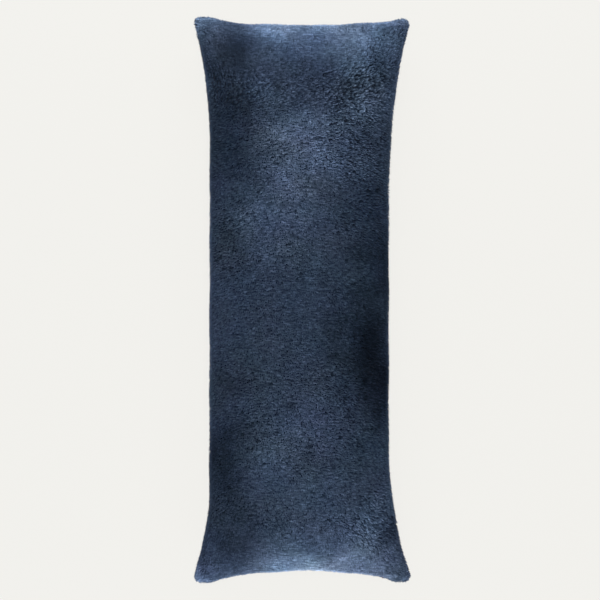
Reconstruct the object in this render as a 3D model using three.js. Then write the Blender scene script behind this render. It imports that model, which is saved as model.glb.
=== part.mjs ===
// A long body pillow in short plush, lying on its back.
// Millimetres, Z up. The length runs along Y with the head at +Y, the width along X,
// and the origin is on the surface it lies on, under the middle of its outline.
// It is two plush panels sewn round all four edges and filled: one filled solid, whose
// faces lie at the tips of the pile.

import * as THREE from 'three';

// Driving sizes of the sewn and filled pillow
const PANEL_LENGTH = 1360; // foot corner to head corner, where the edges would meet
const PANEL_WIDTH = 523; // left corner to right corner, where the edges would meet
const WAIST = 426; // width at half length, where the filling draws the sides in
const THICKNESS = 192; // from the surface up to the crown, where the filling lies evenly
const SEAM_HEIGHT = 90; // of the side seams at half length
const END_DROOP = 8; // how much lower the end seams hang
const DROOP_FROM = { alongHalf: 0.6, acrossHalf: 0.3 }; // where the seam starts to drop
const FRONT_SETBACK = 5; // how far the front panel's rim stands back from the back one's
const SEAM_VALLEY = 10; // how far inside the outline the piles of both panels meet
const PILE_DEPTH = 10; // from the seam to the tips of the pile, where nothing fills a panel
const RIM_RISE = 0.45; // of the pile's depth, where its rounded edge reaches out furthest
const VALLEY_SHAPE = 1.5; // how sharply the two piles part in the valley, as a power
const BELLY = 104; // how far the back panel would hang below its rim without a surface
const SETTLE = 9; // how gently the back panel meets the surface

// The patch on which the back panel lies flat. Its sides and ends bow in as the pillow's
// do, and past its edge the panel lifts off by a small share of the distance.
const REST = { halfWidth: 112, halfLength: 525, sidesIn: 22, endsIn: 30, lift: 0.15 };

const SIDE_SLOPE = WAIST / 2; // from the rim to the middle of the width
const END_SLOPE = 270; // from the rim to where the full thickness is reached
const SLOPE_SHAPE = { fullness: 2.55, steepness: 1.7 }; // of both slopes, as powers

// Each edge is nearly straight in its middle and sweeps out to an ear at both ends.
// drawnIn is how far the middle lies inside the line between the corners, reach is how
// far the sweep runs along the edge, and power is how strongly it bends near the ear.
const EDGES = {
  left: {
    foot: { drawnIn: 41, reach: 201, power: 1.35 },
    head: { drawnIn: 43, reach: 314, power: 2.0 },
  },
  right: {
    foot: { drawnIn: 55, reach: 324, power: 1.75 },
    head: { drawnIn: 55, reach: 509, power: 2.6 },
  },
  foot: {
    left: { drawnIn: 36, reach: 217, power: 1.4 },
    right: { drawnIn: 36, reach: 231, power: 1.9 },
  },
  head: {
    left: { drawnIn: 25, reach: 148, power: 1.2 },
    right: { drawnIn: 25, reach: 251, power: 3.6 },
  },
};

// The four ears. x and y say which corner, blunt is how far its tip is rounded back
// along each axis, droop is how far it hangs below the end seam, and lobe is how much
// more of the back panel shows past the front one there.
const EARS = [
  { x: -1, y: 1, blunt: 6, droop: 12, lobe: 5 },
  { x: 1, y: 1, blunt: 9, droop: 17, lobe: 8 },
  { x: -1, y: -1, blunt: 9, droop: 14, lobe: 4 },
  { x: 1, y: -1, blunt: 8, droop: 20, lobe: 8 },
];
const EAR_SPREAD = 4; // an ear's rounding reaches this many times its blunting
const LOBE_SPREAD = 70; // how far from the corner a lobe of the back panel shows

// Where the filling lies fuller or thinner under the front panel.
const SWELLS = [
  { x: -50, y: 330, radius: 150, rise: 5 },
  { x: 40, y: 70, radius: 120, rise: -5 },
  { x: -20, y: -250, radius: 160, rise: 5 },
  { x: 135, y: -170, radius: 90, rise: -6 },
  { x: -130, y: 140, radius: 100, rise: -4 },
  { x: 90, y: 470, radius: 90, rise: 4 },
  { x: -80, y: -500, radius: 100, rise: -4 },
];

// Soft pulled creases. Each starts at x and y and runs length along bearing, which is
// in degrees from +X. Its trough is depth deep and falls away over breadth.
const CREASE_FADE = 0.4; // of the full thickness, under which a crease grows faint
const CREASES = [
  { x: -232, y: 632, bearing: -58, length: 150, breadth: 15, depth: 6 },
  { x: 238, y: 640, bearing: 232, length: 170, breadth: 16, depth: 7 },
  { x: 205, y: 655, bearing: 212, length: 110, breadth: 12, depth: 5 },
  { x: -226, y: -630, bearing: 56, length: 140, breadth: 16, depth: 6 },
  { x: 236, y: -628, bearing: 122, length: 170, breadth: 15, depth: 7 },
  { x: 198, y: -650, bearing: 146, length: 120, breadth: 13, depth: 5 },
  { x: 103, y: 650, bearing: 262, length: 70, breadth: 11, depth: 5 },
  { x: 88, y: -640, bearing: 96, length: 80, breadth: 12, depth: 4 },
];

// Slight waver of the sewn edges: how far, over what length, and where it starts.
const WAVER = [
  { size: 0.9, length: 173, phase: 0.4 },
  { size: 0.6, length: 71, phase: 2.1 },
];

// How finely the panels are divided
const RIM_STEPS = 2;
const SLOPE_STEPS = 13;
const MIDDLE_STEP = 29;

const { clamp, degToRad, lerp, smoothstep } = THREE.MathUtils;

// How far an edge has swept in at a distance from one of its corners, from 0 to 1
function swept(distance, { reach, power }) {
  return 1 - Math.max(0, 1 - distance / reach) ** power;
}

// How far an edge lies inside the line between its corners
function drawnIn(along, length, first, last) {
  const depth = lerp(first.drawnIn, last.drawnIn, along / length);
  return depth * swept(along, first) * swept(length - along, last);
}

function waver(along, start) {
  let sum = 0;
  for (const { size, length, phase } of WAVER) {
    sum += size * Math.sin((2 * Math.PI * along) / length + phase + start);
  }
  return sum;
}

// The outline's edges at a share of the width and of the length
function edgesAt(across, along) {
  const x = across * PANEL_WIDTH;
  const y = along * PANEL_LENGTH;
  const { left, right, foot, head } = EDGES;
  const sides = Math.sin(Math.PI * along);
  const ends = Math.sin(Math.PI * across);
  return {
    left: -PANEL_WIDTH / 2 + drawnIn(y, PANEL_LENGTH, left.foot, left.head) + sides * waver(y, 0),
    right: PANEL_WIDTH / 2 - drawnIn(y, PANEL_LENGTH, right.foot, right.head) + sides * waver(y, 1),
    foot: -PANEL_LENGTH / 2 + drawnIn(x, PANEL_WIDTH, foot.left, foot.right) + ends * waver(x, 2),
    head: PANEL_LENGTH / 2 - drawnIn(x, PANEL_WIDTH, head.left, head.right) + ends * waver(x, 3),
  };
}

// How near a plan point is to an ear, from 1 at its tip to 0 at a distance of spread
function nearness(ear, across, along, spread) {
  const fromSide = (ear.x < 0 ? across : 1 - across) * PANEL_WIDTH;
  const fromEnd = (ear.y < 0 ? along : 1 - along) * PANEL_LENGTH;
  return Math.max(0, 1 - fromSide / spread) ** 2 * Math.max(0, 1 - fromEnd / spread) ** 2;
}

// A point of the plan at a share of the width and of the length, with blunted ears
function planPoint(across, along) {
  const edges = edgesAt(across, along);
  const point = new THREE.Vector2(
    lerp(edges.left, edges.right, across),
    lerp(edges.foot, edges.head, along),
  );
  for (const ear of EARS) {
    const back = ear.blunt * nearness(ear, across, along, ear.blunt * EAR_SPREAD);
    point.x -= ear.x * back;
    point.y -= ear.y * back;
  }
  return point;
}

// The stations from one edge to the other. inset is the way in from the rim, which is
// where a panel reaches out furthest. rim goes from 0 in the seam's valley to 1 on the
// rim, and slope from 0 on the rim to 1 where the full thickness is reached.
function stations(span, slopeLength) {
  const near = [];
  for (let i = 0; i <= RIM_STEPS; i++) near.push({ inset: 0, rim: i / RIM_STEPS, slope: 0 });
  for (let i = 1; i <= SLOPE_STEPS; i++) {
    const slope = 1 - Math.cos((Math.PI / 2) * (i / SLOPE_STEPS));
    near.push({ inset: slope * slopeLength, rim: 1, slope });
  }
  const middle = [];
  const flat = span - 2 * slopeLength;
  const middleCount = Math.round(flat / MIDDLE_STEP);
  for (let i = 1; i < middleCount; i++) {
    middle.push({ inset: slopeLength + (flat * i) / middleCount, rim: 1, slope: 1 });
  }
  const far = near.map((station) => ({ ...station, inset: span - station.inset, far: true }));
  far.reverse();
  if (middleCount < 1) far.shift();
  return [...near, ...middle, ...far];
}

// A station's share of the span, where the rim and the valley stand back from the outline
function shareOf(station, span, setback, valley) {
  const rimLine = lerp(valley, setback, Math.sin((Math.PI / 2) * station.rim));
  const narrowing = rimLine * (1 - station.slope);
  return (station.inset + (station.far ? -narrowing : narrowing)) / span;
}

// How far the pile alone has risen at a station, from 0 in the valley to 1 on the panel:
// it bulges out to the rim and rounds back over it
function pileShare(station, span) {
  if (station.rim < 1) return RIM_RISE * station.rim ** VALLEY_SHAPE;
  const fromRim = station.far ? span - station.inset : station.inset;
  const back = Math.max(0, 1 - fromRim / PILE_DEPTH);
  return lerp(RIM_RISE, 1, Math.sqrt(1 - back * back));
}

function slopeHeight(slope) {
  return (1 - (1 - slope) ** SLOPE_SHAPE.fullness) ** (1 / SLOPE_SHAPE.steepness);
}

// The height of the seam's level surface, which lies between the two panels
function seamHeight(x, y) {
  const side = smoothstep(Math.abs(x) / (PANEL_WIDTH / 2), DROOP_FROM.acrossHalf, 1);
  const end = smoothstep(Math.abs(y) / (PANEL_LENGTH / 2), DROOP_FROM.alongHalf, 1);
  let height = SEAM_HEIGHT - END_DROOP * end;
  for (const ear of EARS) {
    if (ear.x * x > 0 && ear.y * y > 0) height -= ear.droop * end * side;
  }
  return height;
}

function swell(x, y) {
  let rise = 0;
  for (const spot of SWELLS) {
    const reach = Math.hypot(x - spot.x, y - spot.y) / spot.radius;
    rise += spot.rise * Math.exp(-reach * reach);
  }
  return rise;
}

function creaseDepth(x, y) {
  let depth = 0;
  for (const crease of CREASES) {
    const turn = degToRad(crease.bearing);
    const along = (x - crease.x) * Math.cos(turn) + (y - crease.y) * Math.sin(turn);
    const aside = (y - crease.y) * Math.cos(turn) - (x - crease.x) * Math.sin(turn);
    const share = clamp(along / crease.length, 0, 1);
    const fade = Math.sin(Math.PI * Math.sqrt(share));
    depth += crease.depth * fade * Math.exp(-((aside / crease.breadth) ** 2));
  }
  return depth;
}

// How far the back panel at least stands off the surface at a plan point
function restHeight(x, y) {
  const u = Math.abs(x) / REST.halfWidth;
  const v = Math.abs(y) / REST.halfLength;
  const besideSide = Math.abs(x) - REST.halfWidth + REST.sidesIn * Math.max(0, 1 - v * v);
  const pastEnd = Math.abs(y) - REST.halfLength + REST.endsIn * Math.max(0, 1 - u * u);
  return REST.lift * Math.max(0, besideSide, pastEnd);
}

// A height of the back panel, gently stopped at the least that it can have
function settled(height, least) {
  const above = height - least;
  if (above <= -SETTLE) return least;
  if (above < SETTLE) return least + (above + SETTLE) ** 2 / (4 * SETTLE);
  return height;
}

const columns = stations(WAIST, SIDE_SLOPE);
const rows = stations(PANEL_LENGTH, END_SLOPE);

// A point of a panel: its plan point, and its height above or below the seam's level
function panelPoint(column, row, isFront) {
  let seamShift = 0;
  for (const ear of EARS) {
    const [across, along] = [shareOf(column, WAIST, 0, 0), shareOf(row, PANEL_LENGTH, 0, 0)];
    seamShift += ear.lobe * nearness(ear, across, along, LOBE_SPREAD);
  }
  const setback = isFront ? FRONT_SETBACK + seamShift : 0;
  const valley = SEAM_VALLEY + seamShift;
  const across = shareOf(column, WAIST, setback, valley);
  const along = shareOf(row, PANEL_LENGTH, setback, valley);
  const { x, y } = planPoint(across, along);
  const pile = PILE_DEPTH * pileShare(column, WAIST) * pileShare(row, PANEL_LENGTH);
  const filled = slopeHeight(column.slope) * slopeHeight(row.slope);
  const level = seamHeight(x, y);
  const crease = creaseDepth(x, y) * smoothstep(filled, 0, CREASE_FADE);
  if (isFront) {
    const crown = THICKNESS - SEAM_HEIGHT - PILE_DEPTH + swell(x, y);
    return [x, y, level + pile + crown * filled - crease];
  }
  const hanging = level - pile - BELLY * filled + crease * (1 - filled);
  return [x, y, settled(hanging, restHeight(x, y))];
}

function pillowGeometry() {
  const positions = [];
  const indices = [];
  const lastColumn = columns.length - 1;
  const lastRow = rows.length - 1;

  // Both panels use the same points along the seam
  function addPanel(isFront, seam) {
    const grid = rows.map((row, j) =>
      columns.map((column, i) => {
        const onSeam = i === 0 || j === 0 || i === lastColumn || j === lastRow;
        if (onSeam && seam) return seam[j][i];
        positions.push(...panelPoint(column, row, isFront));
        return positions.length / 3 - 1;
      }),
    );
    for (let j = 0; j < lastRow; j++) {
      for (let i = 0; i < lastColumn; i++) {
        const [a, b, c, d] = [grid[j][i], grid[j][i + 1], grid[j + 1][i + 1], grid[j + 1][i]];
        // Each quarter's diagonals run from its ear towards the middle
        const rising = i < lastColumn / 2 === j < lastRow / 2;
        const faces = rising ? [[a, b, c], [a, c, d]] : [[a, b, d], [b, c, d]];
        for (const [p, q, r] of faces) indices.push(...(isFront ? [p, q, r] : [p, r, q]));
      }
    }
    return grid;
  }

  const seam = addPanel(true, null);
  addPanel(false, seam);

  const geometry = new THREE.BufferGeometry();
  geometry.setAttribute('position', new THREE.Float32BufferAttribute(positions, 3));
  geometry.setIndex(indices);

  // The origin goes under the middle of the outline
  geometry.computeBoundingBox();
  const middle = geometry.boundingBox.getCenter(new THREE.Vector3());
  geometry.translate(-middle.x, -middle.y, 0);
  geometry.computeVertexNormals();
  return geometry;
}

const navyPlush = new THREE.MeshStandardMaterial({
  color: 0x2e394a,
  roughness: 0.95,
  metalness: 0,
});

const pillow = new THREE.Mesh(pillowGeometry(), navyPlush);
pillow.name = 'pillow';

const bodyPillow = new THREE.Group();
bodyPillow.add(pillow);

export default bodyPillow;
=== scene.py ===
# %% [markdown]
# # A long body pillow in short navy plush
#
# The pillow lies on its back. It is two plush panels, sewn together round all four
# edges and filled, and a plush panel is a knitted ground with a short dense pile that
# stands out of it. This lesson builds it in that order: the filled cover, then the
# pile that grows out of it, lock by lock, and then the dye, the light and the camera.
#
# The first cell loads the measured model. It is a fixed frame: nothing in it is moved,
# and every new piece is made in the same metres around it.

# %% Load the measured model
import math

import bmesh
import bpy
import numpy as np
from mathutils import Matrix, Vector
from mathutils.bvhtree import BVHTree
from mathutils.kdtree import KDTree


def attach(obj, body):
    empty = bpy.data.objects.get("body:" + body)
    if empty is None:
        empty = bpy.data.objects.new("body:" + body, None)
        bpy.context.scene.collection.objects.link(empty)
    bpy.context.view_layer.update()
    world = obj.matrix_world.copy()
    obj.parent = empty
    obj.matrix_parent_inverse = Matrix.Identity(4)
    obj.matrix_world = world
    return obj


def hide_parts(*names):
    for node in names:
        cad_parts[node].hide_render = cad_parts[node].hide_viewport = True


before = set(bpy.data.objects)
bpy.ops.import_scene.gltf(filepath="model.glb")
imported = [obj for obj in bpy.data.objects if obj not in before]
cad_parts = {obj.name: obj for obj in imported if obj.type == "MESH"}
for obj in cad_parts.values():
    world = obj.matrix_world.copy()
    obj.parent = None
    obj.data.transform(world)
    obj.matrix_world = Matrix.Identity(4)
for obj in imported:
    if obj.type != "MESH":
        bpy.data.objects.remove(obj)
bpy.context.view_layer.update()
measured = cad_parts["pillow"]

# %% [markdown]
# ## The camera
#
# The photograph looks straight down at the front panel. A long lens from high up keeps
# both ends of the pillow square, as there. The camera's height follows from how many
# millimetres one pixel of the photograph covers at the height of the side seams, and
# its place from where the middle of the outline lies in the picture.

# %% Set the camera above the pillow
PICTURE = 600
MM_TO_PIXEL = 2.381
MIDDLE_PIXEL = (301.5, 299.5)
LENS = 100
SENSOR = 36
SEAM_HEIGHT = 0.090

metres_to_pixel = MM_TO_PIXEL / 1000
reach = PICTURE * metres_to_pixel * LENS / SENSOR
camera_data = bpy.data.cameras.new("overhead_camera")
camera_data.lens = LENS
camera_data.sensor_width = SENSOR
camera = bpy.data.objects.new("overhead_camera", camera_data)
camera.location = (
    (PICTURE / 2 - MIDDLE_PIXEL[0]) * metres_to_pixel,
    (MIDDLE_PIXEL[1] - PICTURE / 2) * metres_to_pixel,
    SEAM_HEIGHT + reach,
)
bpy.context.scene.collection.objects.link(camera)
bpy.context.scene.camera = camera
print("camera height", round(camera.location.z, 3))

# %% [markdown]
# ## Small helpers
#
# Most of the work is done on whole arrays of points, because the pile has far too many
# locks to place one at a time. These few functions carry arrays in and out of a mesh,
# put a new mesh into the scene, apply its modifiers, and blend softly from 0 to 1.

# %% Read and write a mesh as arrays
def read(mesh, what="co"):
    values = np.empty(len(mesh.vertices) * 3, np.float32)
    mesh.vertices.foreach_get(what, values)
    return values.reshape(-1, 3).astype(float)


def write(mesh, points):
    mesh.vertices.foreach_set("co", points.astype(np.float32).ravel())
    mesh.update()


def show(name, mesh):
    piece = bpy.data.objects.new(name, mesh)
    bpy.context.scene.collection.objects.link(piece)
    return piece


def settle(piece):
    """Applies the piece's modifiers, so that what they made is its own mesh."""
    bpy.ops.object.select_all(action="DESELECT")
    piece.select_set(True)
    bpy.context.view_layer.objects.active = piece
    for modifier in list(piece.modifiers):
        bpy.ops.object.modifier_apply(modifier=modifier.name)


def ease(values, start, end):
    """0 before start, 1 past end, and a smooth step between them."""
    share = np.clip((values - start) / (end - start), 0, 1)
    return share * share * (3 - 2 * share)


def unit(vectors):
    return vectors / np.maximum(np.linalg.norm(vectors, axis=1, keepdims=True), 1e-9)


# %% [markdown]
# ### Soft noise
#
# Brushed pile is uneven in a smooth way, because a stroke of the hand is some centimetres
# wide. Blender's noise belongs to materials, but here the locks themselves follow it. So
# each cell of a grid gets a number, always the same one, from mixing its three whole
# numbers, and the points in between are blended from the eight cells around them.

# %% Make soft noise over points
AXIS_KEYS = np.array([73856093, 19349663, 83492791])
SEED_KEY = 2654435761
MIX_KEYS = (1274126177, 668265263)
HIGHEST = 0xFFFF


def lattice(cells, seed):
    """A number from 0 to 1 for each whole-numbered cell, always the same one."""
    keys = cells.astype(np.int64) * AXIS_KEYS + seed * SEED_KEY
    mixed = keys[:, 0] ^ keys[:, 1] ^ keys[:, 2]
    mixed = (mixed ^ (mixed >> 13)) * MIX_KEYS[0]
    mixed = (mixed ^ (mixed >> 16)) * MIX_KEYS[1]
    return ((mixed >> 8) & HIGHEST) / HIGHEST


def soft_noise(points, size, seed):
    """Noise from -1 to 1 whose hills are size apart, in metres or in metres an axis."""
    scaled = points / size
    base = np.floor(scaled)
    share = scaled - base
    share = share * share * (3 - 2 * share)
    total = np.zeros(len(points))
    for corner in np.ndindex(2, 2, 2):
        weight = np.prod(np.where(corner, share, 1 - share), axis=1)
        total += weight * lattice(base + corner, seed)
    return 2 * total - 1


# %% [markdown]
# ## The filled cover
#
# A pillow's cover is two flat panels, sewn face to face, turned and filled. The filling
# bulges both panels, so the sides draw in, and the corners, which hold little of it, are
# left as ears. The seam runs about halfway up the sides and droops at the ends, most of
# all at the ears. Nearly every step asks where it is, so its level comes first, as a
# function of the place. A curve object could hold the same line, but then every point
# would have to search along it.

# %% Where the seam runs
PANEL = (0.523, 1.360)
SIDE_FROM = 0.3
END_FROM = 0.6
END_DROOP = 0.008
EAR_DROOPS = {(-1, 1): 0.012, (1, 1): 0.017, (-1, -1): 0.014, (1, -1): 0.020}


def seam_level(points):
    """The height of the level surface that parts the front panel from the back one."""
    side = ease(np.abs(points[:, 0]) / (PANEL[0] / 2), SIDE_FROM, 1)
    end = ease(np.abs(points[:, 1]) / (PANEL[1] / 2), END_FROM, 1)
    level = SEAM_HEIGHT - END_DROOP * end
    for (x, y), droop in EAR_DROOPS.items():
        inside = (points[:, 0] * x > 0) & (points[:, 1] * y > 0)
        level = level - np.where(inside, droop * end * side, 0)
    return level


# %% [markdown]
# ### One clean grid
#
# The measured solid lies at the tips of the pile and arrives as separate triangles. Its
# points are welded and its triangles joined in pairs, which gives back a grid of
# four-sided faces that subdivides smoothly and bends evenly as cloth. A voxel remesh
# would do that too, but it wipes out the narrow valley of the seam. The edges on the
# seam are creased, so that subdividing keeps it.

# %% Weld the measured faces into a grid of four-sided ones
SAME_POINT = 1e-6
ON_LEVEL = 4e-4
OUTER = (0.17, 0.60)

grid = bmesh.new()
grid.from_mesh(measured.data)
bmesh.ops.remove_doubles(grid, verts=grid.verts, dist=SAME_POINT)
bmesh.ops.join_triangles(
    grid, faces=grid.faces, angle_face_threshold=math.pi, angle_shape_threshold=math.pi
)
cover_mesh = bpy.data.meshes.new("pillow_cover")
grid.to_mesh(cover_mesh)
grid.free()
cover = show("pillow_cover", cover_mesh)


def on_seam(points):
    near_level = np.abs(points[:, 2] - seam_level(points)) < ON_LEVEL
    at_edge = (np.abs(points[:, 0]) > OUTER[0]) | (np.abs(points[:, 1]) > OUTER[1])
    return near_level & at_edge


stitched = on_seam(read(cover_mesh))
crease = cover_mesh.attributes.new("crease_edge", "FLOAT", "EDGE")
for edge, sharp in zip(cover_mesh.edges, crease.data):
    sharp.value = float(stitched[edge.vertices[0]] and stitched[edge.vertices[1]])
cover.modifiers.new("finer", "SUBSURF").levels = 1
settle(cover)
print("cover grid", len(cover.data.polygons), "faces")

# %% [markdown]
# ### Puckers along the seam
#
# A row of stitches is tighter than the plush on both sides of it, so a sewn edge is never
# an even curve: it swells out between small puckers. A short table gives the middle, the
# width and the reach of each swell at the two ends. Sculpting could do the same, but in a
# table each swell can be corrected by itself.

# %% Let the seam swell between its puckers
SIDE_PUSH = 0.0020
END_PUSH = 0.0026
END_ZONE = (0.60, 0.65)
SIDE_ZONE = (0.12, 0.20)
EAR_ZONE = (0.17, 0.22)
SWELLS = [
    # end, x of the middle, half width, reach outwards
    (1, -0.213, 0.026, 0.0050),
    (1, -0.075, 0.040, 0.0034),
    (1, 0.140, 0.040, 0.0042),
    (1, 0.229, 0.012, 0.0044),
    (-1, -0.215, 0.025, 0.0058),
    (-1, -0.065, 0.030, 0.0034),
    (-1, 0.085, 0.045, 0.0028),
    (-1, 0.219, 0.018, 0.0086),
]
EAR_WIDER = {(-1, 1): 0.0022, (1, 1): 0.0040, (-1, -1): 0.0034, (1, -1): 0.0064}


def pushed_out(points):
    """The seam's curve is not even: it swells outwards between the puckers in it."""
    x, y = points[:, 0], points[:, 1]
    end = ease(np.abs(y), *END_ZONE)
    reach = END_PUSH * end
    for which, middle, half_width, outwards in SWELLS:
        near = np.exp(-(((x - middle) / half_width) ** 2))
        reach += np.where(y * which > 0, outwards * near * end, 0)
    wider = SIDE_PUSH * ease(np.abs(x), *SIDE_ZONE)
    for (side, which), more in EAR_WIDER.items():
        inside = (x * side > 0) & (y * which > 0)
        wider += np.where(inside, more * end * ease(np.abs(x), *EAR_ZONE), 0)
    return points + np.stack([np.sign(x) * wider, np.sign(y) * reach, 0 * x], axis=1)


# %% [markdown]
# ### Rounded ears
#
# When a sewn corner is turned the right way out, the folded cloth inside it keeps it
# from coming to a point. Each ear's outline is drawn in to a quarter circle. A bevel
# would round it too, but would add faces and spoil the even grid.

# %% Round the ears
EAR_RADIUS = {(-1, 1): 0.019, (1, 1): 0.021, (-1, -1): 0.019, (1, -1): 0.021}
EAR_STARTS = (0.2, 0.6)


def rounded_ears(points):
    """Draws each ear's tip in to a quarter circle: a turned corner never comes out sharp."""
    rounded = points.copy()
    for ear, radius in EAR_RADIUS.items():
        away = points[:, :2] * ear
        in_ear = (away[:, 0] > EAR_STARTS[0]) & (away[:, 1] > EAR_STARTS[1])
        middle = away[in_ear].max(axis=0) - radius
        past = away - middle
        far = np.linalg.norm(past, axis=1)
        beyond = (past.min(axis=1) > 0) & (far > radius)
        drawn_in = middle + past[beyond] * (radius / far[beyond])[:, None]
        rounded[beyond, :2] = drawn_in * ear
    return rounded


# %% [markdown]
# ### What the seam holds
#
# Close to the seam the panels are held by it, and further away they are free. A search
# tree over the points on the seam gives every point's distance to it, and the distance
# says how firmly the point is held while the cover is filled. The flat patch that the
# pillow lies on is held as well, so that its size stays as measured.

# %% Find how far each point of the cover lies from the seam
SEAM_HOLDS = (0.008, 0.05)
SURFACE_HOLDS = (0.0015, 0.02)


def seam_distance(points):
    stitches = points[on_seam(points)]
    finder = KDTree(len(stitches))
    for index, stitch in enumerate(stitches):
        finder.insert(stitch, index)
    finder.balance()
    return np.array([finder.find(point)[2] for point in points])


shape = read(cover.data)
from_seam = seam_distance(shape)
shape = rounded_ears(pushed_out(shape))
outward = read(cover.data, "normal")
held = np.maximum(1 - ease(from_seam, *SEAM_HOLDS), 1 - ease(shape[:, 2], *SURFACE_HOLDS))
kept = cover.data.attributes.new("from_seam", "FLOAT", "POINT")
kept.data.foreach_set("value", from_seam.astype(np.float32))
print("held points", int((held > 0.5).sum()), "of", len(held))

# %% [markdown]
# ### Filling by simulation
#
# Cloth simulation fills the cover the way that stuffing does. The cover starts a little
# small, air pressure swells it, and a trace of slack lets the panels pucker where the
# seam holds them. Gravity is off, because the measured shape already lies as it should.
# Two helpers first: they follow a mesh's edges, so that the points' movements can be
# smoothed. The movement is capped as well, and the modifier is applied, so that only its
# broad soft dents stay.

# %% Smooth along a mesh's edges
def beside(mesh):
    """The two points at the ends of each edge."""
    ends = np.empty(len(mesh.edges) * 2, np.int32)
    mesh.edges.foreach_get("vertices", ends)
    return ends.reshape(-1, 2).T


def smoothed(mesh, vectors, rounds):
    """Vectors at a mesh's points, drawn halfway to the mean of their neighbours."""
    a, b = beside(mesh)
    total = np.zeros_like(vectors)
    count = np.bincount(a, minlength=len(vectors)) + np.bincount(b, minlength=len(vectors))
    for _ in range(rounds):
        total[:] = 0
        np.add.at(total, a, vectors[b])
        np.add.at(total, b, vectors[a])
        vectors = (vectors + total / count[:, None]) / 2
    return vectors


# %% Fill the cover
START_SMALL = 0.004
PRESSURE = 4
SLACK = 0.008
MOST_MOVED = 0.008
FRAMES = 20
SMOOTHINGS = 3


def fill(piece, start, held, frames):
    """Swells a piece with air and returns its points."""
    write(piece.data, start)
    group = piece.vertex_groups.new(name="held")
    steps = np.round(held, 2)
    for weight in np.unique(steps[steps > 0]):
        group.add(np.flatnonzero(steps == weight).tolist(), float(weight), "REPLACE")
    cloth = piece.modifiers.new("fill", "CLOTH")
    cloth.settings.quality = 4
    cloth.settings.use_pressure = True
    cloth.settings.uniform_pressure_force = PRESSURE
    cloth.settings.vertex_group_mass = "held"
    cloth.settings.shrink_min = -SLACK
    cloth.settings.effector_weights.gravity = 0
    cloth.point_cache.frame_start = 1
    cloth.point_cache.frame_end = frames
    for frame_number in range(1, frames + 1):
        bpy.context.scene.frame_set(frame_number)
    settle(piece)
    piece.vertex_groups.clear()
    return read(piece.data)


start = shape - outward * (START_SMALL * (1 - held))[:, None]
filled = fill(cover, start, held, FRAMES)
moved = filled - shape
far = float(np.linalg.norm(moved, axis=1).max())
moved *= min(1, MOST_MOVED / far) * (1 - held)[:, None]
moved = smoothed(cover.data, moved, SMOOTHINGS)
write(cover.data, shape + moved)
print("filling moved points by up to", round(far * 1000, 1), "mm")
ground_mesh = cover.data.copy()
cover.modifiers.new("finer", "SUBSURF").levels = 1
settle(cover)
print("cover", len(cover.data.polygons), "faces")
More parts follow.
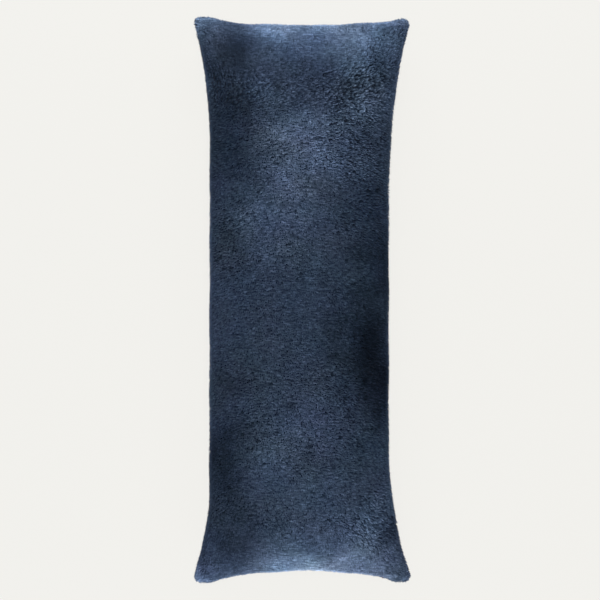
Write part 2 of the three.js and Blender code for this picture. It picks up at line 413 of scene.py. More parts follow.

# %% [markdown]
# ## Brushed patches and painted light
#
# Plush shows every stroke of a hand. Where the pile was last brushed flat it looks dark
# or silvery, and where it was ruffled it stands up and breaks into small clumps. The tones
# were fitted to the lit pillow, so besides the nap they hold painted light and shade:
# lighter bands at both ends, where the pile slopes towards the lamps, light rims on the
# ears, and darker patches along the sides. This could be painted as an image, but a table
# stays readable, and both the shape of the pile and its dye can ask it. x, y and the radii
# are in metres, tone is in stops lighter or darker, nap and painted light and shade
# together, and ruffle is how much the pile is broken up. Soft noise moves each patch's
# edge about, less for a small patch, so that none of them looks stamped.

# %% The table of patches
PATCHES = [
    # x, y, radius across, radius along, tone with painted light and shade, ruffle
    (-0.165, 0.585, 0.060, 0.055, -2.32, -0.6),
    (-0.165, 0.380, 0.070, 0.140, -0.57, 0.0),
    (-0.170, 0.100, 0.050, 0.120, 0.25, 0.2),
    (-0.045, 0.300, 0.070, 0.110, 0.97, 0.3),
    (0.030, 0.380, 0.070, 0.075, 1.45, 0.0),
    (-0.075, 0.480, 0.050, 0.035, 1.09, -0.2),
    (-0.120, 0.190, 0.040, 0.060, 0.94, 0.1),
    (0.150, 0.310, 0.050, 0.040, 0.70, 0.9),
    (0.190, 0.040, 0.040, 0.090, -1.22, -0.7),
    (0.020, 0.530, 0.120, 0.050, -1.11, -0.5),
    (-0.070, 0.640, 0.070, 0.034, 1.53, -0.7),
    (0.060, 0.650, 0.070, 0.030, 1.16, -0.8),
    (0.140, 0.610, 0.060, 0.035, 0.57, -0.3),
    (0.075, 0.310, 0.040, 0.035, 0.93, 0.2),
    (0.070, 0.480, 0.050, 0.030, -0.37, 0.2),
    (0.195, 0.540, 0.030, 0.040, -0.76, 0.0),
    (-0.055, 0.400, 0.045, 0.045, 0.75, -0.3),
    (-0.075, 0.110, 0.065, 0.045, 0.63, 0.3),
    (0.125, 0.120, 0.050, 0.045, -0.50, 0.2),
    (0.080, -0.060, 0.035, 0.060, -0.66, 0.3),
    (0.130, -0.350, 0.045, 0.055, -0.09, 0.5),
    (-0.050, -0.350, 0.060, 0.050, 0.52, 0.0),
    (-0.140, -0.500, 0.045, 0.040, -0.64, 0.0),
    (0.205, -0.540, 0.025, 0.030, -1.09, 0.7),
    (0.140, 0.460, 0.060, 0.080, 1.67, 1.6),
    (0.000, 0.220, 0.090, 0.100, 0.69, -0.2),
    (0.190, 0.220, 0.040, 0.160, -0.25, 0.5),
    (0.150, -0.115, 0.040, 0.080, -2.28, 0.5),
    (0.185, -0.215, 0.035, 0.070, -1.61, 0.5),
    (0.170, -0.375, 0.035, 0.035, -0.26, 0.1),
    (-0.175, -0.205, 0.035, 0.030, -0.71, -0.4),
    (-0.190, -0.400, 0.050, 0.100, -1.32, -0.3),
    (0.020, -0.290, 0.110, 0.080, 0.58, 0.3),
    (-0.070, -0.610, 0.060, 0.040, 0.58, -0.4),
    (0.150, -0.545, 0.050, 0.045, 1.06, 0.7),
    (0.040, -0.628, 0.140, 0.038, 2.07, -0.8),
    (-0.160, -0.580, 0.060, 0.050, -1.31, -0.9),
    (0.030, -0.050, 0.100, 0.140, 0.07, -0.3),
    (0.010, 0.668, 0.150, 0.016, 0.49, -0.5),
    (0.010, -0.662, 0.170, 0.016, 1.61, -0.6),
    (0.195, -0.490, 0.030, 0.030, 0.81, 0.6),
    (0.080, -0.430, 0.060, 0.030, 0.31, -0.1),
    (-0.250, 0.655, 0.008, 0.017, 0.98, 0.0),
    (-0.225, 0.670, 0.021, 0.005, 0.60, 0.0),
    (-0.246, -0.654, 0.008, 0.021, 1.20, 0.0),
    (-0.227, -0.671, 0.021, 0.006, 0.60, 0.0),
    (0.215, 0.658, 0.021, 0.004, 1.06, 0.0),
    (0.177, 0.651, 0.019, 0.012, 0.61, -0.6),
    (0.205, 0.620, 0.045, 0.035, -0.19, -0.1),
    (0.210, -0.625, 0.040, 0.035, 0.39, -0.2),
    (0.213, -0.661, 0.015, 0.003, 1.04, 0.0),
    (0.229, -0.668, 0.010, 0.003, -0.90, 0.0),
    (-0.075, 0.370, 0.035, 0.030, 0.67, 0.0),
    (0.001, 0.370, 0.030, 0.030, -0.36, -0.1),
    (0.101, 0.365, 0.035, 0.030, 0.36, 0.1),
    (-0.151, 0.142, 0.030, 0.035, -0.47, 0.0),
    (-0.146, 0.485, 0.032, 0.030, 0.44, -0.1),
    (-0.151, -0.320, 0.030, 0.030, -0.53, 0.1),
    (-0.080, -0.544, 0.040, 0.030, -0.39, -0.1),
    (0.135, 0.027, 0.030, 0.030, -0.61, 0.0),
    (0.092, -0.144, 0.035, 0.022, -0.43, 0.1),
    (-0.156, -0.654, 0.035, 0.016, 0.24, -0.1),
    (0.173, -0.639, 0.030, 0.022, 0.11, -0.1),
]
print("patches", len(PATCHES))

# %% Ask the table for a place's tone and ruffle
USUAL_RUFFLE = 0.40
STRAYS_FULLY = 0.03


def nap_and_painted_light(points):
    """The tone in stops, nap with painted light and shade, and the ruffle, from 0 to 1, at each point."""
    tone = 0.10 * soft_noise(points, size=0.055, seed=11) + 0.14 * soft_noise(points, size=0.024, seed=12)
    ruffle = USUAL_RUFFLE + 0.3 * soft_noise(points, size=0.09, seed=13)
    stray_across = 0.016 * soft_noise(points, size=0.060, seed=14)
    stray_along = 0.022 * soft_noise(points, size=0.060, seed=15)
    stray = np.stack([stray_across, stray_along], axis=1)
    for x, y, across, along, lighter, rougher in PATCHES:
        strayed = points[:, :2] + stray * min(1, min(across, along) / STRAYS_FULLY)
        reach = ((strayed[:, 0] - x) / across) ** 2 + ((strayed[:, 1] - y) / along) ** 2
        share = np.exp(-reach)
        # the table's tone adds painted light and shade to the nap here
        tone += lighter * share
        ruffle += rougher * share
    return tone, np.clip(ruffle, 0, 1)


# %% [markdown]
# ## The pile
#
# A plush panel has thousands of fine fibres that stand in small locks. Hair curves would
# look right in a picture but vanish from the exported model, so each lock is a small
# closed mesh: a root, two shoulders and a tip, with four triangles between them. Locks
# are planted evenly over the cover, lean the way the pile was brushed, and crowd into
# clumps whose tips draw together, which gives the short dark partings of real plush.
#
# ### Planting
#
# Locks that are scattered freely crowd in some places and leave others bare. So every
# face of the grid is a small bed with rows and columns, as many as the gap between locks
# asks for there, and each lock is jittered within its own place. The front is planted
# densely, the back more thinly, and the underside, which hardly shows, most thinly. All
# dice are seeded, so that the same pillow comes out each time.

# %% Plant points evenly over the cover
DICE = np.random.default_rng(54)
JITTER = 0.45


def plant(mesh, gap):
    """Points on the mesh, gap apart, the normal at each, and where on which face it lies."""
    corners = np.empty(len(mesh.loops), np.int32)
    mesh.loops.foreach_get("vertex_index", corners)
    quads = corners.reshape(-1, 4)
    points, normals = read(mesh), read(mesh, "normal")
    a, b, c, d = (points[quads[:, k]] for k in range(4))
    width = np.linalg.norm((b + c - a - d) / 2, axis=1)
    height = np.linalg.norm((c + d - a - b) / 2, axis=1)
    gap = gap[quads].mean(axis=1)
    across = np.floor(width / gap + DICE.random(len(quads))).astype(int)
    along = np.floor(height / gap + DICE.random(len(quads))).astype(int)
    count = across * along
    quad = np.repeat(np.arange(len(quads)), count)
    step = np.arange(len(quad)) - np.repeat(np.cumsum(count) - count, count)
    jitter = DICE.uniform(-JITTER, JITTER, (len(quad), 2))
    u = ((step % across[quad]) + 0.5 + jitter[:, 0]) / across[quad]
    v = ((step // across[quad]) + 0.5 + jitter[:, 1]) / along[quad]
    weights = np.stack([(1 - u) * (1 - v), u * (1 - v), u * v, (1 - u) * v], axis=1)
    spots = np.einsum("nk,nkj->nj", weights, points[quads[quad]])
    facing = np.einsum("nk,nkj->nj", weights, normals[quads[quad]])
    return spots, unit(facing), quad, weights, quads


# %% Plant the front, the back, the seam and the underside
FRONT_GAP = 0.0021
BACK_GAP = 0.0033
SEAM_GAP = 0.0018
UNDER_GAP = 0.0046
PAST_SEAM = 0.004
UNDERSIDE = 0.004
SEAM_BAND = 0.014

tips = read(cover.data)
from_seam = np.empty(len(tips), np.float32)
cover.data.attributes["from_seam"].data.foreach_get("value", from_seam)
on_front = tips[:, 2] > seam_level(tips) - PAST_SEAM
gap = np.where(on_front, FRONT_GAP, np.where(tips[:, 2] > UNDERSIDE, BACK_GAP, UNDER_GAP))
gap = np.where(from_seam < SEAM_BAND, SEAM_GAP, gap)
spots, facing, quad, weights, quads = plant(cover.data, gap)


def at_spots(values):
    """Values at the cover's points, read at the spots between them."""
    return np.einsum("nk,nk->n", weights, values[quads[quad]])


print("locks", len(spots))

# %% [markdown]
# ### The ground under the pile
#
# The tips of the pile lie at the measured surface, so the knitted ground lies deeper. How
# deep depends on the room: in the ears the two panels come close together, and their
# grounds mustn't cross. From each point a ray looks inwards for the far side and the
# ground takes a share of that room. A second ray looks back out, to be sure that the
# place is inside the cover. A Displace modifier couldn't tell how much room there is.
# The ground of each ear is also drawn towards the heart of the ear, where it is thickest.

# %% Draw the ground in under the pile
PILE = 0.0068
GROUND_SHARE = 0.35
JUST_INSIDE = 0.0015
LEAST_ROOM = 0.0002


def room_inside(mesh, points, normals):
    """How deep the ground can lie at each point: a share of what is left where it is thin."""
    tree = BVHTree.FromPolygons(
        points.tolist(), [list(face.vertices) for face in mesh.polygons]
    )
    room = np.full(len(points), PILE)
    for index, (point, normal) in enumerate(zip(points, normals)):
        hit = tree.ray_cast(point - normal * JUST_INSIDE, -normal, PILE / GROUND_SHARE)
        if hit[0] is not None:
            room[index] = min(PILE, GROUND_SHARE * (hit[3] + JUST_INSIDE))
        while room[index] > LEAST_ROOM:
            back_out = tree.ray_cast(point - normal * room[index], normal)
            if back_out[0] is None or np.dot(back_out[1], normal) > 0:
                break
            room[index] /= 2
    return room


def evened(mesh, values, rounds):
    """Values at a mesh's points, drawn towards the mean of their neighbours, never above."""
    a, b = beside(mesh)
    count = np.bincount(a, minlength=len(values)) + np.bincount(b, minlength=len(values))
    even = values
    for _ in range(rounds):
        total = np.bincount(a, even[b], len(values)) + np.bincount(b, even[a], len(values))
        even = np.minimum(values, (even + total / count) / 2)
    return even


# %% Give the cover its ground
EVENINGS = 12
EAR_ACROSS = (0.21, 0.25)
EAR_ALONG = (0.62, 0.665)
EAR_HEART = (0.230, 0.642, 0)
HEART_DEPTH = 0.012
EAR_DRAW = 0.45
THIN = 0.002

normals = read(cover.data, "normal")
room = evened(cover.data, room_inside(cover.data, tips, normals), EVENINGS)
depth = at_spots(room)
from_seam = at_spots(from_seam)
drawn = tips - normals * room[:, None]
ear = ease(np.abs(tips[:, 0]), *EAR_ACROSS) * ease(np.abs(tips[:, 1]), *EAR_ALONG)
heart = np.sign(tips) * np.array(EAR_HEART)
heart[:, 2] = seam_level(tips) - HEART_DEPTH
drawn += (heart - drawn) * (EAR_DRAW * ear)[:, None]
cover.data = ground_mesh
write(ground_mesh, drawn[: len(ground_mesh.vertices)])
print("ground lies", round(float(depth.min()) * 1000, 1), "mm deep at the least")
print("thin in", int((depth < THIN).sum()), "of", len(depth), "places")

# %% [markdown]
# ### The lay of the pile
#
# Pile keeps the way that it was brushed. Here it runs towards the foot over most of the
# pillow, swings round to run towards the head near that end, and wanders by some degrees
# from place to place. Along the seam it turns outwards over the edge. Hair guides could
# be combed for this, but a function of the place serves every lock at once. Where the
# pile is ruffled it leans less, and along the seam it stands up.

# %% Lay the pile
SWING_ZONE = (0.40, 0.60)
RIM_TURN = 1.4
RIM_ZONE = (0.004, 0.022)
EDGE_ZONE = (0.004, 0.020)
USUAL_LEAN = 62
RUFFLED_LESS = 26
MOST_LEAN = 66


def lay(spots, facing, from_seam):
    """The way that the pile runs along the cover at each spot."""
    swung = ease(spots[:, 1] + 0.025 * soft_noise(spots, size=0.070, seed=24), *SWING_ZONE)
    turn = np.radians(
        22 * soft_noise(spots, size=0.060, seed=21) + 16 * soft_noise(spots, size=0.026, seed=22)
        + 14 * DICE.uniform(-1, 1, len(spots)) + 180 * swung
    )
    way = np.stack([np.sin(turn), -np.cos(turn), np.zeros(len(spots))], axis=1)
    flat = facing * np.array([1, 1, 0])
    way += RIM_TURN * unit(flat) * (1 - ease(from_seam, *RIM_ZONE))[:, None]
    way -= facing * np.sum(way * facing, axis=1, keepdims=True)
    return unit(way)


_, ruffle = nap_and_painted_light(spots)
way = lay(spots, facing, from_seam)
edge = 1 - ease(from_seam, *EDGE_ZONE)
lean = np.radians(USUAL_LEAN - RUFFLED_LESS * ruffle + 8 * soft_noise(spots, size=0.035, seed=23))
lean = np.minimum(lean, np.radians(MOST_LEAN)) * (1 - 0.35 * edge)
print("mean lean", round(float(np.degrees(lean).mean()), 1), "degrees")

# %% [markdown]
# ### Clumps and tufts
#
# Locks cling to each other. They gather into clumps, a few millimetres long and wider
# across the pillow than along it, and where the pile is ruffled into larger tufts. A
# Voronoi texture draws such a pattern, but only as colour. So the same idea is worked
# out here for the locks: each cell of a grid has one middle, shifted at random, and a
# lock belongs to the nearest of them. Towards the corners the rows fan out.

# %% Find each lock's clump
CLUMP = np.array([0.0115, 0.0036, 0.0050])
TUFT = np.array([0.0150, 0.0054, 0.0075])
FAN = 0.45
FAN_FROM = 0.08
FAN_ZONE = (0.42, 0.60)
MOST_AHEAD = 0.7


def gathered(spots, size, seed):
    """For each spot the way to the middle of its clump and a number for that clump."""
    x, y = spots[:, 0], spots[:, 1]
    wavy = spots.copy()
    fan = np.maximum(0, np.abs(x) - FAN_FROM) * ease(np.abs(y), *FAN_ZONE)
    wavy[:, 1] -= np.sign(y) * FAN * fan
    wander = 0.005 * soft_noise(spots, size=0.035, seed=31)
    wavy[:, 1] += wander + 0.002 * soft_noise(spots, size=0.013, seed=32)
    scaled = wavy / size
    base = np.floor(scaled)
    nearest = np.full(len(spots), np.inf)
    middle = np.zeros_like(spots)
    number = np.zeros(len(spots))
    for step in np.ndindex(3, 3, 3):
        cell = base + step - 1
        centre = cell + np.stack([lattice(cell, seed + k) for k in (1, 2, 3)], axis=1)
        gap = np.linalg.norm(centre - scaled, axis=1)
        closer = gap < nearest
        nearest = np.where(closer, gap, nearest)
        middle[closer] = centre[closer] * size
        number[closer] = lattice(cell[closer], seed)
    to_middle = middle - wavy
    return to_middle - facing * np.sum(to_middle * facing, axis=1, keepdims=True), number


def ahead_of(to_middle, size):
    """How far in front of its clump's middle each spot lies, along the lay of the pile."""
    return np.clip(-np.sum(to_middle * way, axis=1) / size[1], -MOST_AHEAD, MOST_AHEAD)


to_clump, clump = gathered(spots, CLUMP, 41)
to_tuft, tuft = gathered(spots, TUFT, 51)
clump_ahead = ahead_of(to_clump, CLUMP)
tuft_ahead = ahead_of(to_tuft, TUFT)
for name, to_middle in (("clump", to_clump), ("tuft", to_tuft)):
    far = float(np.linalg.norm(to_middle, axis=1).mean())
    print("mean way to the middle of a", name, "in mm", round(far * 1000, 1))

# %% [markdown]
# ### Partings
#
# Here and there two tufts have fallen apart, and the dark roots show between them. The
# locks there sink, and they are painted darker too, painted shade in the gap. These are
# too few and too sharp for noise, so each has a row of its own in a table, with its
# place, half its length and width in metres, and how far it is turned.

# %% List the partings
PARTINGS = [
    # x, y, half as long, half as wide, turned by so many degrees
    (0.151, 0.389, 0.0080, 0.0040, 0),
    (0.148, -0.192, 0.0060, 0.0060, 0),
    (0.164, -0.203, 0.0070, 0.0030, 0),
    (0.161, 0.252, 0.0050, 0.0040, 0),
    (-0.126, -0.349, 0.0060, 0.0040, 0),
    (0.098, 0.451, 0.0060, 0.0030, 0),
    (-0.023, -0.245, 0.0040, 0.0050, 0),
    (0.133, -0.514, 0.0050, 0.0030, 0),
    (-0.056, -0.308, 0.0040, 0.0040, 0),
    (0.111, 0.512, 0.0060, 0.0030, 0),
    (0.133, 0.523, 0.0050, 0.0030, 0),
    (0.150, -0.232, 0.0050, 0.0040, 0),
    (-0.004, 0.358, 0.0060, 0.0030, 0),
    (-0.084, 0.198, 0.0040, 0.0040, 0),
    (0.100, -0.229, 0.0050, 0.0030, 0),
    (0.177, 0.254, 0.0040, 0.0040, 0),
    (0.196, 0.644, 0.0060, 0.0022, 20),
    (0.217, 0.646, 0.0045, 0.0022, 35),
    (0.202, 0.636, 0.0050, 0.0022, 20),
    (0.233, 0.664, 0.0028, 0.0022, 45),
    (0.239, 0.660, 0.0022, 0.0022, 0),
    (0.232, 0.651, 0.0038, 0.0022, 40),
    (0.243, 0.644, 0.0042, 0.0022, 35),
    (0.235, 0.640, 0.0032, 0.0022, 20),
    (0.204, -0.639, 0.0038, 0.0020, -45),
    (0.201, -0.646, 0.0038, 0.0020, -45),
    (0.217, -0.650, 0.0047, 0.0020, -40),
    (0.225, -0.650, 0.0024, 0.0022, 0),
    (0.233, -0.657, 0.0047, 0.0020, -40),
    (0.214, -0.637, 0.0036, 0.0020, -40),
    (0.206, -0.624, 0.0050, 0.0022, 25),
]


def opened(spots):
    """1 where two tufts have fallen apart, and 0 away from there."""
    share = np.zeros(len(spots))
    for x, y, half_long, half_wide, degrees in PARTINGS:
        ahead = (math.cos(math.radians(degrees)), math.sin(math.radians(degrees)))
        right, up = spots[:, 0] - x, spots[:, 1] - y
        reach = ((right * ahead[0] + up * ahead[1]) / half_long) ** 2
        reach += ((up * ahead[0] - right * ahead[1]) / half_wide) ** 2
        share = np.maximum(share, np.exp(-reach))
    return share * (spots[:, 2] > seam_level(spots))


print("partings", len(PARTINGS))

# %% [markdown]
# ### Rise and tone
#
# The front of a clump rises towards the light, and behind it the next one lies in shade.
# That is what the eye reads as the texture of plush. So the same numbers that raise a
# lock also paint it lighter, as painted light, and those that sink it paint it darker, as
# painted shade, over a small random tone for each clump. Along the seam the pile is held
# short and even, a tuft on the outline doesn't stand out from it, and its locks are
# painted lighter there, a painted sheen along the rim.

# %% Raise and shade the locks
MATTED_ZONE = (0.45, 1.0)
CLUMP_DRAW = 0.40
TUFT_DRAW = 0.25
CLUMP_RISE = 0.0030
TUFT_RISE = 0.0034
PARTED_SINKS = 0.0020
OPENED_SINKS = 0.0010
# painted light on the fronts of clumps and tufts, a painted sheen along the rim and painted shade on
# parted clumps, all in stops
CLUMP_PAINTED_LIGHT = 0.9
TUFT_PAINTED_LIGHT = 0.8
RIM_PAINTED_SHEEN = 0.7
PARTED_PAINTED_SHADE = 1.2


def lit(ahead):
    """How much of the light falls on a lock so far ahead of its clump's middle."""
    return ahead - 0.5 * ahead ** 2


matted = ease(ruffle, *MATTED_ZONE)
loose = 0.55 + 0.75 * ruffle

draw = to_clump * (CLUMP_DRAW * loose)[:, None] * np.array([0.5, 1.0, 0.8])
draw += to_tuft * (TUFT_DRAW * matted)[:, None] * np.array([0.4, 1.0, 0.8])
draw *= 1 - 0.8 * edge[:, None]
rise = CLUMP_RISE * clump_ahead * loose + 0.0008 * (clump - 0.5) * loose
rise += (TUFT_RISE * tuft_ahead + 0.0010 * (tuft - 0.5)) * matted * np.abs(facing[:, 2])
parted = ease(0.07 - clump, 0, 0.05) * loose
rise -= PARTED_SINKS * parted + OPENED_SINKS * opened(spots)
rise = (depth / PILE) * (1 - 0.6 * edge) * (rise + DICE.normal(0, 0.0004, len(spots)))
# painted light and shade on each lock, over a random tone for each clump and lock
lock_tone_and_painted_light = loose * (0.25 * (clump - 0.5) + CLUMP_PAINTED_LIGHT * lit(clump_ahead))
lock_tone_and_painted_light += matted * TUFT_PAINTED_LIGHT * lit(tuft_ahead)
lock_tone_and_painted_light += RIM_PAINTED_SHEEN * edge - PARTED_PAINTED_SHADE * parted + DICE.normal(0, 0.08, len(spots))
print("rise in mm", round(float(rise.min()) * 1000, 1), "to", round(float(rise.max()) * 1000, 1))

# %% [markdown]
# ### The shape of a lock
#
# A lock springs from the ground, is widest at its shoulders and ends in a tip at the
# measured surface. Its root is placed back along the lean and then moved to the nearest
# place in the ground. The shoulders stand out to both sides and a little below, so that
# a lock is a thin closed body. A flat card would be cheaper, but it vanishes when it is
# seen from its edge.

# %% Shape the locks
LEAST_PILE = 0.0032
SEAM_LIFT = 0.0022
LOCK_WIDTH = 0.0040
LOCK_DEPTH = 0.30
ROOTED = 0.0010
LOWEST_TIP = 0.0004
LOWEST_ROOT = 0.0012

length_share = DICE.uniform(0.8, 1.2, len(spots))
height = np.maximum(depth, LEAST_PILE) + SEAM_LIFT * edge
tip = spots + draw + facing * (rise + height - depth)[:, None]
root = spots - facing * depth[:, None] - way * (np.tan(lean) * height * length_share)[:, None]
ground_tree = BVHTree.FromPolygons(
    read(cover.data).tolist(), [list(face.vertices) for face in cover.data.polygons]
)
for index, point in enumerate(root):
    place, normal, _, _ = ground_tree.find_nearest(point)
    root[index] = place - normal * ROOTED
tip[:, 2] = np.maximum(tip[:, 2], LOWEST_TIP)
root[:, 2] = np.maximum(root[:, 2], LOWEST_ROOT)
along = unit(tip - root)
side = unit(np.cross(along, facing))
under = unit(np.cross(side, along))
under *= -np.sign(np.sum(under * facing, axis=1, keepdims=True))
width = LOCK_WIDTH * DICE.uniform(0.75, 1.25, len(spots)) * (1 - 0.25 * edge)
shoulder = root + (tip - root) * DICE.uniform(0.5, 0.66, len(spots))[:, None]
shoulder += under * (LOCK_DEPTH * width)[:, None]
left = shoulder - side * (width / 2)[:, None]
right = shoulder + side * (width / 2)[:, None]
print("lock length in mm", round(float(np.linalg.norm(tip - root, axis=1).mean()) * 1000, 1))

# %% [markdown]
# ### From locks to pieces
#
# Nearly a quarter of a million locks are far too many objects, so they are joined into
# six pieces by where they grow. A mesh takes whole arrays of points and faces at once,
# which is much faster than adding them one by one. Every point also keeps how far along
# its lock it is and its tone, for the dye to read. Each lock gets a cell of its own on a
# flat sheet too, so that its colours can be baked.

# %% Lay each lock out flat
SHEET_MARGIN = (0.07, 0.93)


def lay_flat(mesh, count):
    """Lays each lock's four faces out in a cell of its own on a square sheet."""
    low, high = SHEET_MARGIN
    cells = math.ceil(math.sqrt(count))
    corners = np.array([[low, low], [high, low], [high, high], [low, high]])
    middle = np.array([0.5, 0.5])
    ring = np.stack([corners, np.roll(corners, -1, axis=0), np.tile(middle, (4, 1))], axis=1)
    cell = np.stack([np.arange(count) % cells, np.arange(count) // cells], axis=1)
    places = (cell[:, None, None, :] + ring[None]) / cells
    sheet = mesh.uv_layers.new(name="OFBake")
    sheet.data.foreach_set("uv", places.astype(np.float32).ravel())


# %% Make the pieces of pile
# painted shade, in stops, over the partings
PARTING_PAINTED_SHADE = 1.8
CORNERS = np.array([[0, 1, 3], [2, 0, 3], [0, 2, 1], [1, 2, 3]])
ALONG = np.array([0.0, 0.62, 0.62, 1.0])


def pile_piece(name, chosen):
    """One piece of pile from the chosen locks."""
    count = len(chosen)
    points = np.stack([root[chosen], left[chosen], right[chosen], tip[chosen]], axis=1)
    faces = (np.arange(count)[:, None, None] * 4 + CORNERS).reshape(-1, 3)
    mesh = bpy.data.meshes.new(name)
    mesh.vertices.add(count * 4)
    mesh.loops.add(len(faces) * 3)
    mesh.polygons.add(len(faces))
    mesh.vertices.foreach_set("co", points.astype(np.float32).ravel())
    mesh.loops.foreach_set("vertex_index", faces.astype(np.int32).ravel())
    mesh.polygons.foreach_set("loop_start", np.arange(0, len(faces) * 3, 3, dtype=np.int32))
    mesh.update(calc_edges=True)
    spread = mesh.attributes.new("along", "FLOAT", "POINT")
    spread.data.foreach_set("value", np.tile(ALONG, count).astype(np.float32))
    shade = mesh.attributes.new("tone", "FLOAT", "POINT")
    placed = points.reshape(-1, 3)
    # the tone holds the patches' nap with painted light and shade, painted shade over the partings, and
    # each lock's painted light and shade
    tone = nap_and_painted_light(placed)[0] - PARTING_PAINTED_SHADE * opened(placed) + np.repeat(lock_tone_and_painted_light[chosen], 4)
    shade.data.foreach_set("value", tone.astype(np.float32))
    lay_flat(mesh, count)
    return show(name, mesh)


# %% Part the pile into its pieces
PIECE_END = 0.345

front = spots[:, 2] > seam_level(spots)
y = spots[:, 1]
parts = {
    "pile_front_head": front & (y > PIECE_END),
    "pile_front_upper": front & (y > 0) & (y <= PIECE_END),
    "pile_front_lower": front & (y <= 0) & (y > -PIECE_END),
    "pile_front_foot": front & (y <= -PIECE_END),
    "pile_back_head": ~front & (y >= 0),
    "pile_back_foot": ~front & (y < 0),
}
pile = {name: pile_piece(name, np.flatnonzero(part)) for name, part in parts.items()}
for name, piece in pile.items():
    print(name, len(piece.data.polygons), "triangles")

# %% [markdown]
# ## The loose thread
#
# At the foot a small loop of the sewing thread stands out of the seam. A curve with a
# round bevel could make it. Here a ring of points is swept along the path instead, which
# shows how such a tube is built: rings side by side, faces between them, and a cap on
# both ends, which lie inside the pile.

# %% Leave a loop of thread at the foot seam
THREAD = 0.0013
LOOP_PLACE = (0.194, -0.655)
LOOP_REACH = 0.0118
LOOP_HALF_WIDTH = 0.0021
LOOP_LIFT = 0.002


def swept(path, thickness, sides=8):
    """The points and faces of a round thread along a path."""
    ahead = unit(np.gradient(path, axis=0))
    across = unit(np.cross(ahead, (0.0, 0.0, 1.0)))
    upward = np.cross(across, ahead)
    angle = np.arange(sides) * 2 * math.pi / sides
    ring = np.cos(angle)[:, None] * across[:, None] + np.sin(angle)[:, None] * upward[:, None]
    points = (path[:, None] + ring * thickness / 2).reshape(-1, 3)
    faces = []
    for row in range(len(path) - 1):
        for side in range(sides):
            a, b = row * sides + side, row * sides + (side + 1) % sides
            faces.append((a, b, b + sides, a + sides))
    faces.append(tuple(range(sides - 1, -1, -1)))
    faces.append(tuple(range(len(points) - sides, len(points))))
    return points, faces


turn = np.linspace(-0.9, 0.9, 17) * math.pi / 2
loop_path = np.stack(
    [
        LOOP_PLACE[0] + LOOP_HALF_WIDTH * np.sin(turn),
        LOOP_PLACE[1] - LOOP_REACH * np.cos(turn),
        0 * turn,
    ],
    axis=1,
)
loop_path[:, 2] = seam_level(loop_path) + LOOP_LIFT
loop_points, loop_faces = swept(loop_path, THREAD)
loop_mesh = bpy.data.meshes.new("seam_thread")
loop_mesh.from_pydata(loop_points.tolist(), [], loop_faces)
loop_mesh.shade_smooth()
thread_loop = show("seam_thread", loop_mesh)
print("thread loop", len(loop_faces), "faces")

# %% [markdown]
# ## Dye and finish
#
# Shader maths reads best as plain arithmetic, so one small class wraps a socket and adds
# a Math node for each operator. Any other node comes from its one other method.

# %% A socket that can be reckoned with
class Value:
    """A shader socket. Arithmetic on it adds Math nodes to its material."""

    def __init__(self, tree, socket=None):
        self.tree = tree
        self.socket = socket

    def node(self, kind, settings=None, inputs=None, output=0):
        """Adds a node, sets its settings first, then its sockets, and wraps an output."""
        made = self.tree.nodes.new(kind)
        for name, setting in (settings or {}).items():
            setattr(made, name, setting)
        for name, value in (inputs or {}).items():
            if isinstance(value, Value):
                self.tree.links.new(value.socket, made.inputs[name])
            else:
                made.inputs[name].default_value = value
        return Value(self.tree, made.outputs[output])

    def reckon(self, operation, first, second):
        return self.node("ShaderNodeMath", {"operation": operation}, {0: first, 1: second})

    def __add__(self, other):
        return self.reckon("ADD", self, other)

    def __sub__(self, other):
        return self.reckon("SUBTRACT", self, other)

    def __rsub__(self, other):
        return self.reckon("SUBTRACT", other, self)

    def __mul__(self, other):
        return self.reckon("MULTIPLY", self, other)

    def __pow__(self, other):
        return self.reckon("POWER", self, other)

    def __rpow__(self, other):
        return self.reckon("POWER", other, self)

    __radd__ = __add__
    __rmul__ = __mul__


def new_material(name):
    """A fresh material, its nodes as a Value to start from, and its shader node."""
    material = bpy.data.materials.new(name)
    material.use_nodes = True
    tree = material.node_tree
    return material, Value(tree), tree.nodes["Principled BSDF"]


def feed(value, shader, name):
    value.tree.links.new(value.socket, shader.inputs[name])


# %% [markdown]
# ### Navy plush
#
# Each lock is painted dark at the root, as painted shade deep in the pile, and lighter at
# the tip, where the light catches it. The locks are coarser than real fibres, so a fine
# noise, drawn out across the pillow, flecks them. It joins the tone that each point keeps,
# which holds painted light and shade as well, and both are in stops, so they are powers
# of two. A broad noise shifts the hue a little, as an uneven bath of dye does. Real pile
# also has a soft sheen along its fibres.

# %% Dye the pile
# the root colour is the dye darkened by painted shade, as deep in the pile
ROOT_DYE_IN_PAINTED_SHADE = (0.0048, 0.0096, 0.0190, 1)
TIP_DYE = (0.0580, 0.0870, 0.1440, 1)
UNEVEN_DYE = (0.30, 0.12, 0.30)
FLECK_SIZE = (85.0, 270.0, 200.0)
FLECK_STOPS = 3.9
FADES_LATE = 1.4

plush, start_value, shader = new_material("navy_plush")
along_lock = start_value.node("ShaderNodeAttribute", {"attribute_name": "along"}, output="Fac")
tone_value = start_value.node("ShaderNodeAttribute", {"attribute_name": "tone"}, output="Fac")
place = start_value.node("ShaderNodeTexCoord", output="Object")
stretched = start_value.node(
    "ShaderNodeVectorMath", {"operation": "MULTIPLY"}, {0: place, 1: FLECK_SIZE}
)
fleck = start_value.node(
    "ShaderNodeTexNoise",
    inputs={"Vector": stretched, "Scale": 1.0, "Detail": 1.0, "Distortion": 0.7},
)
dye = start_value.node(
    "ShaderNodeMix",
    {"data_type": "RGBA"},
    {"Factor": along_lock ** FADES_LATE, "A": ROOT_DYE_IN_PAINTED_SHADE, "B": TIP_DYE},
    output="Result",
)
stops = tone_value + FLECK_STOPS * (fleck - 0.5)
strength = start_value.node(
    "ShaderNodeCombineXYZ",
    inputs={"X": 2 ** (1.05 * stops), "Y": 2 ** stops, "Z": 2 ** (0.95 * stops)},
)
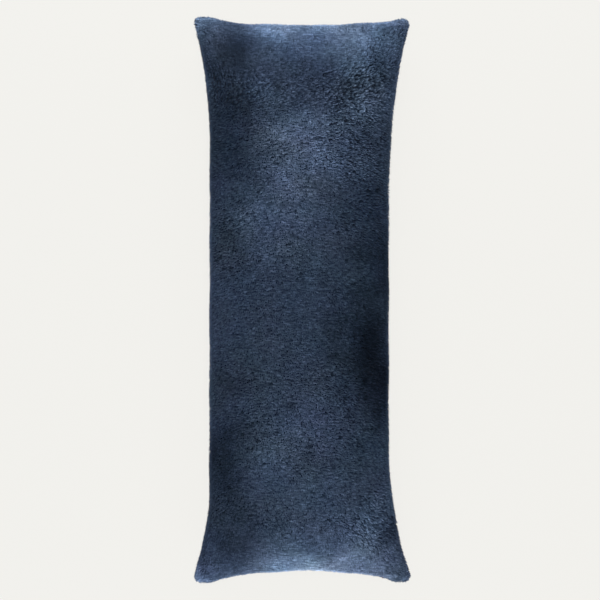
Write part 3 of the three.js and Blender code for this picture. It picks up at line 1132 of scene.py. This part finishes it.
bath = start_value.node(
    "ShaderNodeTexNoise", inputs={"Vector": place, "Scale": 9.0, "Detail": 2.0}, output="Color"
)
least = tuple(1 - share / 2 for share in UNEVEN_DYE)
hue = start_value.node(
    "ShaderNodeVectorMath", {"operation": "MULTIPLY_ADD"}, {0: bath, 1: UNEVEN_DYE, 2: least}
)
for more in (strength, hue):
    dye = start_value.node("ShaderNodeVectorMath", {"operation": "MULTIPLY"}, {0: dye, 1: more})
feed(dye, shader, "Base Color")
feed(0.62 + 0.25 * fleck, shader, "Roughness")
shader.inputs["Sheen Weight"].default_value = 0.03
shader.inputs["Sheen Roughness"].default_value = 0.45
shader.inputs["Sheen Tint"].default_value = (0.35, 0.55, 1.0, 1)
shader.inputs["Specular IOR Level"].default_value = 0.03
for piece in pile.values():
    piece.data.materials.append(plush)
print("plush", len(plush.node_tree.nodes), "nodes")

# %% [markdown]
# ### The knitted ground
#
# The ground shows only where the pile parts, as a dark knit. A fine noise, about as fine
# as its stitches, gives it two shades and a slight bump, and it is left without a shine.
# A woven pattern would be wasted here, because nothing of it could be seen.

# %% Knit the ground
KNIT_DARK = (0.008, 0.013, 0.024, 1)
KNIT_LIGHT = (0.016, 0.025, 0.045, 1)

ground, start_value, shader = new_material("knitted_ground")
place = start_value.node("ShaderNodeTexCoord", output="Object")
knit = start_value.node(
    "ShaderNodeTexNoise", inputs={"Vector": place, "Scale": 700.0, "Detail": 1.0}
)
dye = start_value.node(
    "ShaderNodeMix",
    {"data_type": "RGBA"},
    {"Factor": knit, "A": KNIT_DARK, "B": KNIT_LIGHT},
    output="Result",
)
feed(dye, shader, "Base Color")
bump = start_value.node(
    "ShaderNodeBump", inputs={"Strength": 0.5, "Distance": 0.001, "Height": knit}, output="Normal"
)
feed(bump, shader, "Normal")
shader.inputs["Roughness"].default_value = 0.95
cover.data.materials.append(ground)

# %% [markdown]
# ### The loose thread's dye
#
# The thread is dark and slightly reddish. A noise finer than the thread breaks its colour
# up, as the twist of its plies does.

# %% Colour the loose thread
PLY_DARK = (0.020, 0.010, 0.012, 1)
PLY_LIGHT = (0.070, 0.030, 0.028, 1)

thread, start_value, shader = new_material("dark_thread")
place = start_value.node("ShaderNodeTexCoord", output="Object")
ply = start_value.node(
    "ShaderNodeTexNoise", inputs={"Vector": place, "Scale": 2500.0, "Detail": 1.0}
)
dye = start_value.node(
    "ShaderNodeMix",
    {"data_type": "RGBA"},
    {"Factor": ply, "A": PLY_DARK, "B": PLY_LIGHT},
    output="Result",
)
feed(dye, shader, "Base Color")
shader.inputs["Roughness"].default_value = 0.75
loop_mesh.materials.append(thread)

# %% [markdown]
# ## Floor and light
#
# The pillow is shown on plain white paper, which is so brightly lit that it takes hardly
# any shadow. Lighting it like that would flood the pillow too. So the floor glows by
# itself with the paper's colour, and a dark matt surface takes what little shadow shows.

# %% Lay the floor
FLOOR_HALF = 6.0
FLOOR_COLOUR = (0.888, 0.880, 0.847, 1)
FLOOR_GLOW = 0.94
FLOOR_SHADE = (0.04, 0.0395, 0.038, 1)

floor_mesh = bpy.data.meshes.new("studio_floor")
floor_corners = [(x * FLOOR_HALF, y * FLOOR_HALF, 0) for x, y in ((-1, -1), (1, -1), (1, 1), (-1, 1))]
floor_mesh.from_pydata(floor_corners, [], [(0, 1, 2, 3)])
floor = show("studio_floor", floor_mesh)
paper, start_value, shader = new_material("pale_paper")
shader.inputs["Base Color"].default_value = FLOOR_SHADE
shader.inputs["Roughness"].default_value = 0.9
shader.inputs["Specular IOR Level"].default_value = 0.0
shader.inputs["Emission Color"].default_value = FLOOR_COLOUR
shader.inputs["Emission Strength"].default_value = FLOOR_GLOW
floor.data.materials.append(paper)

# %% [markdown]
# ### Lights
#
# Three large soft boxes light the pillow: a low one past the head, a weaker one past the
# foot, and one high above. The low ones graze the pile and bring out the way that it
# lies, which a single light from above would flatten. Their size keeps the shadows soft,
# and a pale bluish world fills in what they leave dark.

# %% Hang the lights
WORLD_COLOUR = (0.9, 0.95, 1.0, 1)
WORLD_STRENGTH = 0.25


def soft_box(name, place, aim, size, power):
    """A rectangular lamp with its size in metres and its power in watts."""
    data = bpy.data.lights.new(name, "AREA")
    data.shape = "RECTANGLE"
    data.size, data.size_y = size
    data.energy = power
    lamp = bpy.data.objects.new(name, data)
    lamp.location = place
    direction = np.array(aim, float) - np.array(place, float)
    lamp.rotation_euler = Vector(direction).to_track_quat("-Z", "Y").to_euler()
    bpy.context.scene.collection.objects.link(lamp)


soft_box("head_light", (0, 2.4, 1.0), (0, 0.35, 0.1), (2.4, 0.8), 70)
soft_box("foot_light", (0, -2.4, 1.0), (0, -0.35, 0.1), (2.4, 0.8), 40)
soft_box("top_light", (-0.4, 0.2, 5.2), (0, 0, 0), (2.5, 2.5), 150)
world = bpy.data.worlds.new("studio")
bpy.context.scene.world = world
world.use_nodes = True
world.node_tree.nodes["Background"].inputs["Color"].default_value = WORLD_COLOUR
world.node_tree.nodes["Background"].inputs["Strength"].default_value = WORLD_STRENGTH
bpy.context.scene.view_settings.view_transform = "Standard"
print("lights", len(bpy.data.lights))

# %% [markdown]
# ## What each piece is
#
# Every piece is attached to the body that it moves with. The cover stands for the
# measured solid, which is hidden. A pillow like this gives when it is pressed.

# %% Say what each piece is
for piece in [cover, thread_loop, *pile.values()]:
    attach(piece, "root")
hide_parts("pillow")
